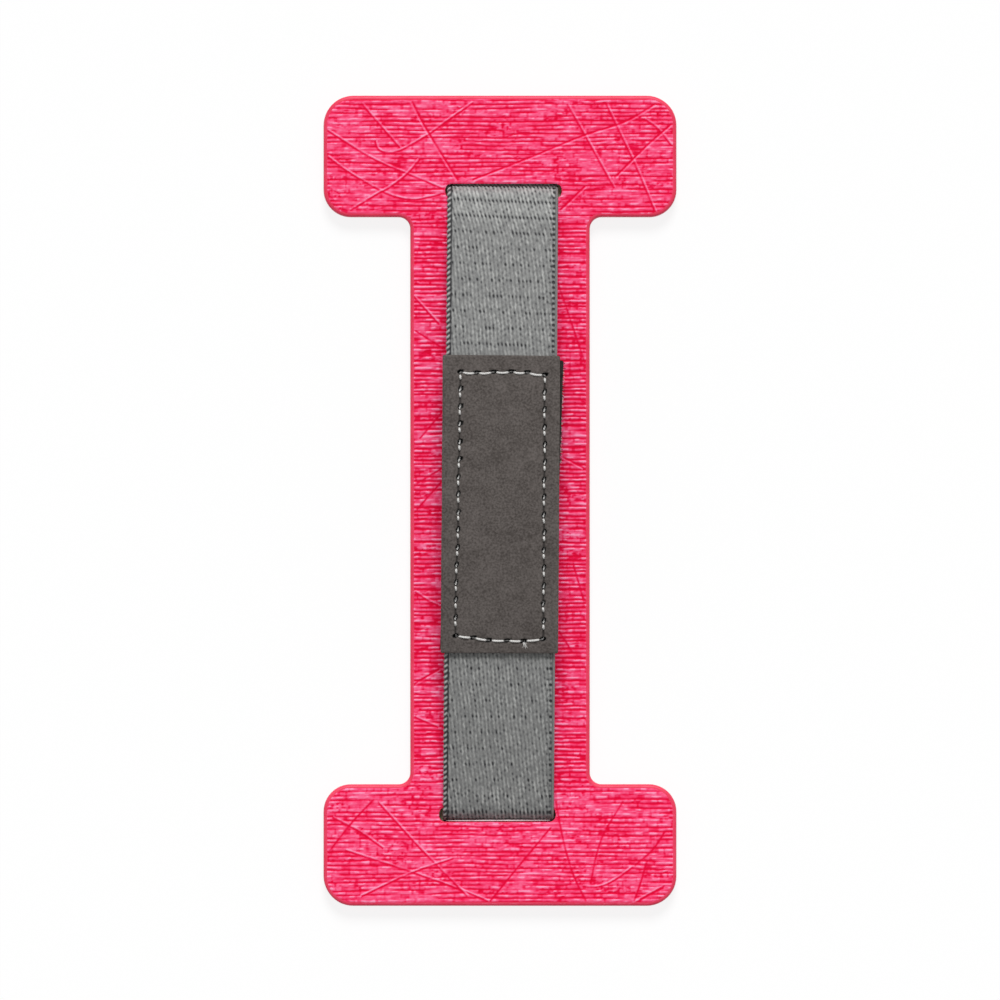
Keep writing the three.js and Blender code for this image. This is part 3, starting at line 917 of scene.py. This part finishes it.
def spaced(half, step, fine_at, fine_step, fine_reach):
    """Places from -half to half, closer together near the given distances from the middle."""
    places = [0.0]
    while places[-1] < half:
        fine = any(abs(places[-1] - at) < fine_reach for at in fine_at)
        places.append(places[-1] + (fine_step if fine else step))
    places = np.array(places) * half / places[-1]
    return np.concatenate([-places[:0:-1], places])


def seam_depth(x, y, holes, groove):
    """How deep the seam presses a sheet in at places on it: a groove along each stitch, deepest where the
    stitch sinks, and a slanted pit at each hole."""
    depth = np.zeros(x.shape)
    for start, end in zip(holes, np.roll(holes, -1, axis=0)):
        run, middle = end - start, (start + end) / 2
        near = np.hypot(x - middle[0], y - middle[1]) < GROOVE_REACH
        px, py = x[near] - start[0], y[near] - start[1]
        share = np.clip((px * run[0] + py * run[1]) / (run @ run), 0, 1)
        gap = np.hypot(px - share * run[0], py - share * run[1])
        if along_side(start, end):
            from_upper = share if start[1] > end[1] else 1 - share
            pressed = groove * (0.3 + 0.7 * smoothstep(0.36, 0.52, from_upper)) * bell(gap, 0.25)
        else:
            pressed = 0.3 * groove * bell(gap, 0.35)
        depth[near] = np.maximum(depth[near], pressed + 0.05 * bell(gap, 1.1))
    for index, hole in enumerate(holes):
        side = along_side(hole, holes[(index + 1) % len(holes)]) and along_side(holes[index - 1], hole)
        near = np.hypot(x - hole[0], y - hole[1]) < HOLE_REACH
        px = x[near] - hole[0] - SIDE_HOLE_SHIFT[0] * side
        py = y[near] - hole[1] - SIDE_HOLE_SHIFT[1] * side
        long_way, short_way = turned(px, py, SIDE_HOLE_TILT if side else END_HOLE_TILT)
        shape = (long_way / HOLE_SIZE[0]) ** 2 + (short_way / HOLE_SIZE[1]) ** 2
        depth[near] = np.maximum(depth[near], HOLE_DEPTH * (1 - smoothstep(0.5, 1.2, shape)))
    return depth


def patch_piece(name, material, width, length, lower, upper, place_on, holes, groove, detail, seed):
    """A sheet on the bow: its outline has small round corners, its cut edges are crisp, and its
    outer face is pressed in along the seam and pierced at the holes. Upper is the outer face."""
    half_width, half_length = width / 2, length / 2
    seam_x, seam_y = PATCH_WIDTH / 2 - SEAM_SIDE_INSET, PATCH_LENGTH / 2 - SEAM_END_INSET
    x = spaced(half_width, 0.5 * detail, [half_width, seam_x], 0.1 * detail, 0.75)
    y = spaced(half_length, 0.16 * detail, [half_length, seam_y], 0.12 * detail, 0.9)
    across, along = np.meshgrid(x, y)
    corner_x = np.abs(across) - (half_width - PATCH_RADIUS)
    corner_y = np.abs(along) - (half_length - PATCH_RADIUS)
    both = (corner_x > 0) & (corner_y > 0)
    reach = np.hypot(corner_x, corner_y)
    shrink = np.where(both, np.maximum(corner_x, corner_y) / np.maximum(reach, 1e-9), 1)
    flat_x = np.where(both, np.sign(across) * (half_width - PATCH_RADIUS + corner_x * shrink), across)
    flat_y = np.where(both, np.sign(along) * (half_length - PATCH_RADIUS + corner_y * shrink), along)
    edge_wave = 0.06 * (value_noise(flat_x, flat_y, 9, 9, seed) - 0.5)
    flat_x, flat_y = flat_x * (1 + edge_wave / 12), flat_y * (1 + edge_wave / 30)
    from_edge = np.minimum(half_width - np.abs(across), half_length - np.abs(along))

    face = np.zeros(across.shape)
    face -= 0.12 * (1 - smoothstep(0.0, 0.25, from_edge))
    face += 0.05 * (value_noise(flat_x, flat_y, 2.4, 2.4, seed + 1) - 0.5)
    face += 0.03 * (value_noise(flat_x, flat_y, 0.7, 0.7, seed + 2) - 0.5)
    depth = seam_depth(flat_x, flat_y, holes, groove)
    face -= depth
    outward = 1 if upper > lower else -1
    outer = place_on(flat_x, flat_y, upper + outward * face)
    inner = place_on(flat_x, flat_y, np.full(across.shape, lower))
    rows, columns = across.shape
    faces, row, column = grid_quads(rows, columns)
    uv = np.stack([x[column], y[row]], axis=-1) / (2 * length)
    count = rows * columns
    rim = np.concatenate([
        np.arange(columns), columns * np.arange(1, rows) + columns - 1,
        (rows - 1) * columns + np.arange(columns - 2, -1, -1), columns * np.arange(rows - 2, 0, -1),
    ])
    walls = np.stack([rim + count, np.roll(rim, -1) + count, np.roll(rim, -1), rim], axis=1)
    order = slice(None) if outward > 0 else slice(None, None, -1)
    all_faces = np.vstack([faces[:, order], (faces + count)[:, ::-1][:, order], walls[:, order]])
    rim_x, rim_y = np.tile(x, rows)[walls % count], np.repeat(y, columns)[walls % count]
    wall_uv = np.stack([rim_x, rim_y], axis=-1) / (2 * length) + (0.75, 0.25)
    inner_uv = uv[:, ::-1] + (0.25, 0)
    all_uv = np.vstack([uv[:, order] + (0.25, 0.25), inner_uv[:, order] + (0.25, 0.25), wall_uv[:, order]])
    points = np.vstack([outer.reshape(-1, 3), inner.reshape(-1, 3)])
    values = {"depth": np.concatenate([depth.ravel(), np.zeros(count)])}
    piece = mesh_piece(name, points, all_faces, material, all_uv, values, sharp=50)
    return piece


def front_place(across, along, offset):
    """Places on the patch's front piece."""
    return on_strap(across, along + PATCH_SHIFT, offset)


def back_turned(across, along):
    """Turns places on the back piece, which lies askew, to across and along the strap."""
    x, y = turned(across, along, BACK_LEAN)
    return BACK_SHIFT[0] + x, BACK_SHIFT[1] + PATCH_SHIFT + y


def back_place(across, along, offset):
    """Places on the patch's back piece."""
    return on_strap(*back_turned(across, along), offset)


FRONT_FACE = BAND_THICKNESS / 2 + PATCH_GAP + FRONT_THICKNESS
BACK_FACE = -(BAND_THICKNESS / 2 + PATCH_GAP + BACK_THICKNESS)


def grip_patch(front_material, back_material, holes):
    front = patch_piece(
        "patch_front", front_material, PATCH_WIDTH, PATCH_LENGTH, BAND_THICKNESS / 2 + PATCH_GAP, FRONT_FACE,
        front_place, holes - (0, PATCH_SHIFT), SEAM_GROOVE, 1.0, 61,
    )
    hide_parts("grip_patch_front")
    across, along = (holes - BACK_SHIFT - (0, PATCH_SHIFT)).T
    back_holes = np.column_stack(turned(across, along, -BACK_LEAN))
    back = patch_piece(
        "patch_back", back_material, PATCH_WIDTH - BACK_TRIM, PATCH_LENGTH - BACK_TRIM,
        -BAND_THICKNESS / 2 - PATCH_GAP, BACK_FACE, back_place, back_holes, 0.15, 1.6, 71,
    )
    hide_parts("grip_patch_back")


# Threads, and a stitch's path as shares of its length and lifts from the patch's face: from the upper
# hole along the sides, and from either hole across the ends
SIDE_STITCH = [
    (0.04, -1.0), (0.15, -0.95), (0.2, -0.62), (0.24, -0.12), (0.28, 0.12), (0.33, 0.14),
    (0.38, -0.02), (0.42, -0.42), (0.47, -0.8), (0.6, -0.9), (0.96, -1.0),
]
END_STITCH = [
    (0.04, -1.0), (0.15, -0.95), (0.2, -0.5), (0.25, -0.05), (0.36, 0.07), (0.5, 0.1),
    (0.64, 0.07), (0.75, -0.05), (0.8, -0.5), (0.85, -0.95), (0.96, -1.0),
]
THREAD_RADIUS = 0.24
PLY_RADIUS = 0.135
TWIST_PITCH = 1.1
PLY_STEP = 0.14
END_FIBRES = 9


def stitch_points(start, end, face, outward):
    """A stitch's path from one hole to the next. Along the sides it rises out of its upper hole, shows for
    a third of its length and sinks into the patch; across the ends it lies on the face and sags."""
    run = end - start
    points = []
    if along_side(start, end):
        upper_first = start[1] > end[1]
        for share, lift in SIDE_STITCH:
            place = start + run * (share if upper_first else 1 - share)
            slant = 0.6 * (np.clip(share, 0.2, 0.45) - 0.31)
            points.append((place[0] + slant, place[1], face + outward * lift))
        return points if upper_first else points[::-1]
    sag = FAR_STITCH_SAG if start[1] > 0 else NEAR_STITCH_SAG
    for share, lift in END_STITCH:
        place = start + run * share
        points.append((place[0], place[1] - sag * math.sin(math.pi * share), face + outward * lift))
    return points


def painted_lip_highlight(material):
    """A pale strand along the near slot's near lip: a painted highlight where the lip faces the key light.
    """
    (left, left_y), (right, right_y) = (from_photo(point) for point in NEAR_LIP)
    x = np.linspace(left, right, LIP_POINTS)
    y = np.linspace(left_y, right_y, LIP_POINTS) + 0.03 * value_noise(x, 0 * x, 1.5, 1, 95)
    line = np.column_stack([x, y, np.full(LIP_POINTS, PANEL_TOP - LIP_HIGHLIGHT_SINK)])
    taper = np.sin(np.linspace(0, math.pi, LIP_POINTS)) ** 0.3
    thickness = taper * (0.8 + 0.3 * value_noise(x, 0 * x, 0.8, 1, 96)) + 0.02
    piece = strands("painted_lip_highlight", [line], LIP_HIGHLIGHT_RADIUS, material, [thickness])


def plied(path, radius=THREAD_RADIUS - PLY_RADIUS, plies=3):
    """The lines of a thread's plies, twisted round its path."""
    gaps = np.linalg.norm(np.diff(path, axis=0), axis=1)
    travelled = np.concatenate([[0], np.cumsum(gaps)])
    places = np.arange(0, travelled[-1], PLY_STEP)
    path = np.column_stack([np.interp(places, travelled, path[:, axis]) for axis in range(3)])
    tangent = np.gradient(path, axis=0)
    tangent /= np.linalg.norm(tangent, axis=1)[:, None]
    side = np.cross(tangent, (0.0, 0.0, 1.0))
    side /= np.maximum(np.linalg.norm(side, axis=1), 1e-9)[:, None]
    rise = np.cross(side, tangent)
    lines = []
    for ply in range(plies):
        turn = (2 * math.pi * (places / TWIST_PITCH + ply / plies))[:, None]
        lines.append(path + radius * (side * np.cos(turn) + rise * np.sin(turn)))
    return lines


def seam_thread(name, node, material, holes, face, outward):
    order = np.roll(holes, -SEAM_START_HOLE, axis=0)
    plan = []
    for start, end in zip(order, np.roll(order, -1, axis=0)):
        plan += stitch_points(start, end, face, outward)
    plan = smooth_line(plan, 6)
    path = on_strap(plan[:, 0], plan[:, 1], plan[:, 2])
    piece = strands(name, plied(path), PLY_RADIUS, material)
    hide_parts(node)


def loose_fibres(name, material, roots, reach, radius, seed, toward):
    """Short bent fibres that stand out from their roots, toward a direction on the strap."""
    random = np.random.default_rng(seed)
    lines, thickness = [], []
    for root in roots:
        heading = math.atan2(toward[1], toward[0]) + random.normal(0, 0.7)
        length = reach * random.uniform(0.4, 1.0)
        curl = random.normal(0, 1.1)
        rise = random.uniform(-0.25, 0.35) * length
        steps = np.linspace(0, 1, 7)
        angles = heading + curl * steps
        walk = np.column_stack([np.cos(angles), np.sin(angles)]) * length / 6
        plan = root[:2] + np.cumsum(walk, axis=0) - walk[0]
        lines.append(on_strap(plan[:, 0], plan[:, 1], root[2] + rise * steps))
        thickness.append(1 - 0.6 * steps)
    piece = strands(name, lines, radius, material, thickness)


def frayed_edge(dark, light):
    """Fibres of the back piece's cut edge, where it shows past the front piece; the dark ones take the back
    piece's darker suede, which paints its shade.
    """
    random = np.random.default_rng(81)
    half_width, half_length = (PATCH_WIDTH - BACK_TRIM) / 2, (PATCH_LENGTH - BACK_TRIM) / 2
    for name, count, material, reach in (("edge_fibres", 110, dark, 0.7), ("edge_lint", 70, light, 0.55)):
        along = random.uniform(half_length * 0.3, half_length * 0.99, count)
        offset = random.uniform(BACK_FACE + 0.1, BACK_FACE + BACK_THICKNESS - 0.05, count)
        roots = np.column_stack([*back_turned(np.full(count, half_width - 0.05), along), offset])
        loose_fibres(name, material, roots, reach, 0.045, 82 + count, (1, -0.4))


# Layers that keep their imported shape

def dress(node, material):
    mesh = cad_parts[node].data
    mesh.materials.clear()
    mesh.materials.append(material)


# Light, floor and camera
CAMERA_DISTANCE = 2500
CAMERA_SHIFT = 0.15
SENSOR = 36
KEY_TILT = math.radians(46)
KEY_STRENGTH = 2.85
KEY_TURN = math.radians(-2)
KEY_SPREAD = math.radians(24)
WORLD_STRENGTH = 0.40
FLOOR_SIZE = 6
FLOOR_DROP = 0.05
FLOOR_WHITE = 0.85


def white_to_camera(tree, white):
    """The share of plain white that the camera, glossy and transmission rays see instead of a surface."""
    path = add_node(tree, "LightPath")
    seen = path.outputs["Is Camera Ray"]
    for ray in ("Is Glossy Ray", "Is Transmission Ray"):
        inputs = {0: seen, 1: path.outputs[ray]}
        seen = add_node(tree, "Math", inputs, operation="ADD", use_clamp=True).outputs[0]
    return add_node(tree, "Math", {0: seen, 1: white}, operation="MULTIPLY").outputs[0]


def light_and_floor():
    world = bpy.data.worlds.new("studio")
    bpy.context.scene.world = world
    world.use_nodes = True
    tree = world.node_tree
    background = tree.nodes["Background"]
    background.inputs["Color"].default_value = (1, 1, 1, 1)
    inputs = {"Value": white_to_camera(tree, 1.0), "To Min": WORLD_STRENGTH, "To Max": 1.0}
    level = add_node(tree, "MapRange", inputs)
    tree.links.new(level.outputs["Result"], background.inputs["Strength"])

    lamp = bpy.data.lights.new("key", "SUN")
    lamp.energy = KEY_STRENGTH
    lamp.angle = KEY_SPREAD
    key = bpy.data.objects.new("key", lamp)
    key.rotation_euler = (-KEY_TILT, 0, KEY_TURN)
    bpy.context.scene.collection.objects.link(key)

    bpy.ops.mesh.primitive_plane_add(size=FLOOR_SIZE)
    floor = bpy.context.object
    floor.name = "floor"
    floor.location.z = -FLOOR_DROP * MM
    finish = Finish("white_floor", Base_Color=(0.95, 0.95, 0.95, 1), Roughness=1, Specular_IOR_Level=0)
    glow = finish.add("Emission", {"Strength": 1.0})
    blend = finish.add("MixShader", {
        0: white_to_camera(finish.tree, FLOOR_WHITE), 1: finish.shader.outputs[0], 2: glow.outputs[0],
    })
    surface = finish.tree.nodes["Material Output"].inputs["Surface"]
    finish.tree.links.new(blend.outputs[0], surface)
    floor.data.materials.append(finish.material)


def camera():
    data = bpy.data.cameras.new("camera")
    data.sensor_width = SENSOR
    data.lens = SENSOR * CAMERA_DISTANCE / (PHOTO_SIZE * PIXEL)
    data.clip_end = 50
    holder = bpy.data.objects.new("camera", data)
    holder.location = Vector((0, CAMERA_SHIFT, PANEL_TOP + CAMERA_DISTANCE)) * MM
    bpy.context.scene.collection.objects.link(holder)
    bpy.context.scene.camera = holder


def build():
    pink = grain_material()
    rim = smooth_material("smooth_pink", (217, 46, 78), (229, 60, 92), 0.45, 0.3, 0.01)
    half_width, half_length = PANEL_WIDTH / 2, PANEL_LENGTH / 2
    half_web, neck = WEB_WIDTH / 2, PANEL_LENGTH / 2 - FLANGE_DEPTH
    cover_body(rim)
    edge_paint(rim)
    flange = [(-half_width, half_width, GRAIN_STEP[0])]
    web = [
        (-half_web, -UNDER_STRAP, GRAIN_STEP[0]), (-UNDER_STRAP, UNDER_STRAP, COARSE_GRAIN_STEP),
        (UNDER_STRAP, half_web, GRAIN_STEP[0]),
    ]
    grain_piece("grain_flange_far", pink, flange, (neck, half_length))
    grain_piece("grain_web_far", pink, web, (0, neck))
    grain_piece("grain_web_near", pink, web, (-neck, 0))
    grain_piece("grain_flange_near", pink, flange, (-half_length, -neck))

    elastic_webbing(webbing_material())
    holes = seam_holes()
    suede = suede_material("suede", (67, 62, 59), (98, 92, 89))
    # The back piece: a darker copy of the front's suede, painted shade for where it lies under the front
    # piece and band
    shaded_suede = suede_material("shaded_suede", (34, 28, 27), (56, 50, 48))
    grip_patch(suede, shaded_suede, holes)
    thread = thread_material()
    seam_thread("stitches_front", "needle_thread", thread, holes, FRONT_FACE, 1)
    seam_thread("stitches_back", "bobbin_thread", thread, holes, BACK_FACE, -1)
    start = holes[SEAM_START_HOLE]
    roots = np.array([[start[0], start[1] - 0.3, FRONT_FACE + 0.05]] * END_FIBRES)
    loose_fibres("thread_end", thread, roots, 1.5, 0.06, 91, (0.5, -1))
    frayed_edge(shaded_suede, thread)
    # The near lip's painted highlight, drawn as a pale strand
    painted_lip_highlight(smooth_material("lip_highlight_paint", (205, 180, 184), (240, 222, 224), 0.8, 0.3, 0.02))

    for node, name, low, high, roughness, grain, depth in (
        ("core_board", "fibre_board", (170, 160, 145), (196, 188, 172), 0.9, 0.4, 0.05),
        ("back_sheet", "fibre_sheet", (206, 210, 168), (222, 226, 186), 0.8, 0.5, 0.03),
        ("adhesive_sheet", "adhesive", (226, 223, 208), (238, 236, 224), 0.4, 0.6, 0.02),
        ("release_liner", "liner_paper", (206, 202, 156), (218, 214, 172), 0.45, 0.6, 0.01),
    ):
        dress(node, smooth_material(name, low, high, roughness, grain, depth))


bpy.context.scene.view_settings.view_transform = "Standard"
camera()
light_and_floor()
build()
